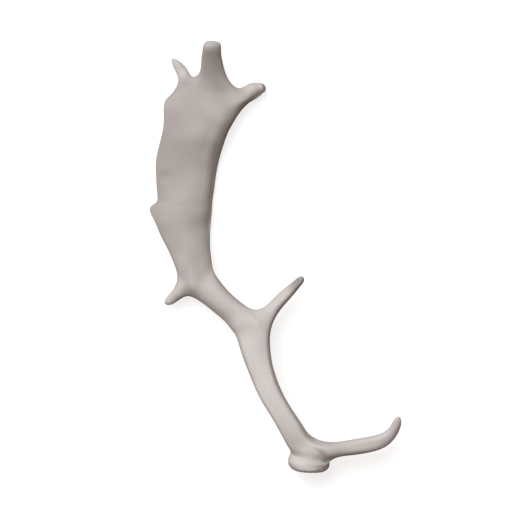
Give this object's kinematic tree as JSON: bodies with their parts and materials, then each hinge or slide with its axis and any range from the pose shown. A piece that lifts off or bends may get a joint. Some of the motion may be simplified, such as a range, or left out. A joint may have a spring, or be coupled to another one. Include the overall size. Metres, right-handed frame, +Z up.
{
  "type": "deer antler",
  "caption": "Pale grey palmate deer antler lying on its side, with a ringed burr, a bare beam with long tines and a flat blade ending in points.",
  "frame": {"origin": "on the surface the antler lies on, under the middle of its bounding box", "axes": "+Y from the burr towards the top of the palm, +X to the side of the brow tine, +Z up off the surface"},
  "size_m": [0.352, 0.6032, 0.0575],
  "materials": {
    "bone": "matte pale warm grey bone, no gloss, thin darker brown in the creases"
  },
  "bodies": {
    "root": {"beam": "bone", "brow_tine": "bone", "trez_tine": "bone", "back_tine": "bone", "palm": "bone", "rear_point": "bone", "top_point": "bone", "front_point": "bone"}
  },
  "joints": []
}
